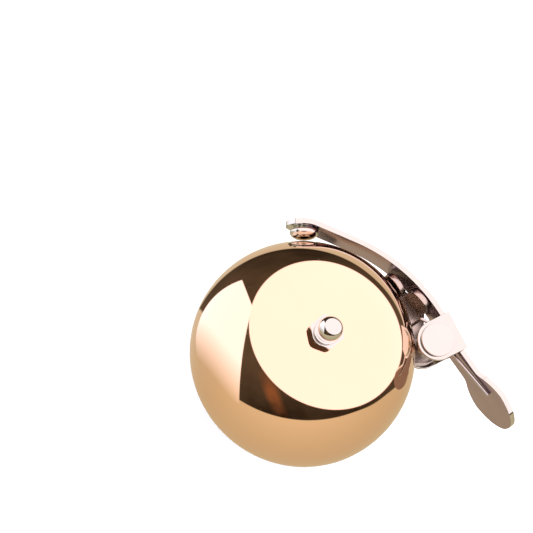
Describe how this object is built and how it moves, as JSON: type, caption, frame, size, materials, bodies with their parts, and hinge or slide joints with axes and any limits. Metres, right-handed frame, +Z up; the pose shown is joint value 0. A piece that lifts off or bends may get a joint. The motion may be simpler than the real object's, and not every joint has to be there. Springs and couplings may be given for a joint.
{
  "type": "bicycle bell",
  "caption": "Bicycle bell: brass dome on a post over a handlebar clamp, struck by a sprung thumb lever with a hammer.",
  "frame": {"origin": "middle of the handlebar clamp, on the handlebar's axis", "axes": "+X along the handlebar towards the lever's pivot, +Z up the dome's own axis, +Y to the side where the hammer strikes"},
  "size_m": [0.0787, 0.0604, 0.0697],
  "materials": {
    "polished_brass": "mirror polished and lacquered",
    "bright_chrome": "bright chrome plate",
    "zinc_steel": "bright zinc plate",
    "spring_steel": "plain drawn wire and strip",
    "fibre": "matt",
    "liner_rubber": "matt"
  },
  "bodies": {
    "bell_body": {"dome": "polished_brass", "acorn_nut": "bright_chrome", "dome_seat_washer": "fibre", "dome_pillar": "zinc_steel", "dome_stud": "zinc_steel", "stud_nut": "zinc_steel", "stud_lock_washer": "spring_steel", "bracket": "bright_chrome", "pivot_bush": "zinc_steel", "torsion_spring": "spring_steel", "clamp_saddle": "bright_chrome", "clamp_strap": "bright_chrome", "liner_upper": "liner_rubber", "liner_lower": "liner_rubber", "clamp_screws": "zinc_steel", "clamp_lock_washers": "spring_steel", "clamp_nuts": "zinc_steel"},
    "striker": {"lever": "bright_chrome", "hammer_button": "bright_chrome", "hammer_rivet": "bright_chrome", "pivot_pin": "bright_chrome", "pivot_washer": "zinc_steel"}
  },
  "joints": [
    {"name": "lever_swing", "type": "hinge", "parent": "bell_body", "child": "striker", "pos_m": [0.0309, 0.0023, 0.023], "axis": [0, 0, -1], "range_deg": [0, 30], "stiffness_Nm_per_rad": 0.12, "springref_deg": -28.65, "deforming": ["torsion_spring"]}
  ]
}
